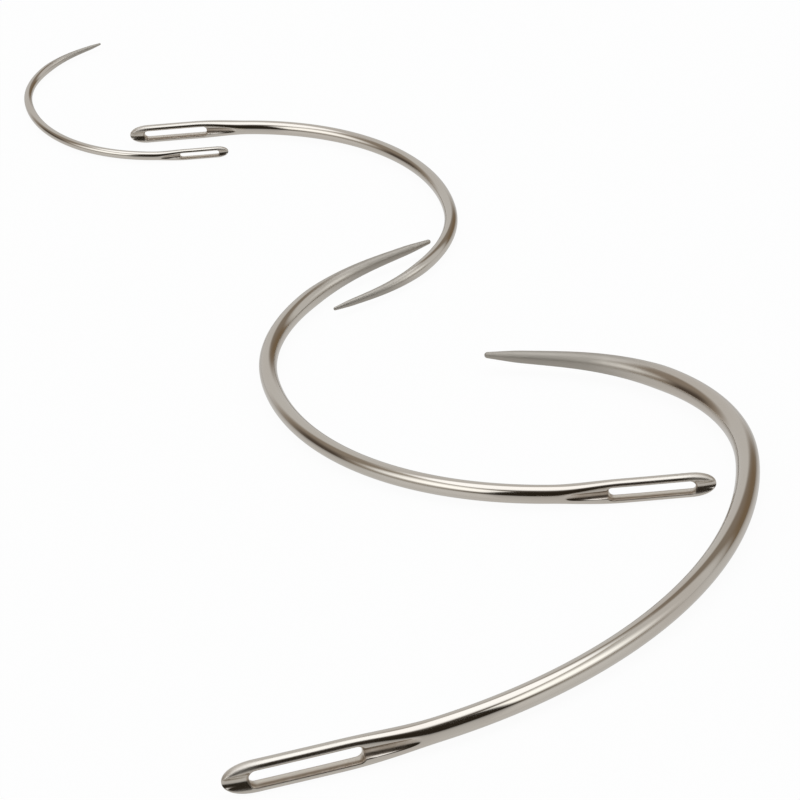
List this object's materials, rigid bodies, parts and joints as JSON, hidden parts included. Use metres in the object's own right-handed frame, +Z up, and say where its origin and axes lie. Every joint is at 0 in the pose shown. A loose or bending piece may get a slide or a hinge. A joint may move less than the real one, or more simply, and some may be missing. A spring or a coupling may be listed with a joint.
{
  "type": "curved leather needle set",
  "caption": "Graduated set of loose curved hand needles for leather and upholstery: bent polished wire, ground point, flattened head with a long grooved eye",
  "frame": {"origin": "on the table, under the middle of the box round the four needles as they lie", "axes": "+Z up from the table, +Y from the largest needle towards the smallest, +X to the right of someone who sits by the largest needle"},
  "size_m": [0.0824, 0.1978, 0.0041],
  "materials": {
    "plated_steel": "polished nickel plate on steel wire, with a ground satin point"
  },
  "bodies": {
    "root": {"needle_largest": "plated_steel", "needle_large": "plated_steel", "needle_small": "plated_steel", "needle_smallest": "plated_steel"}
  },
  "joints": []
}
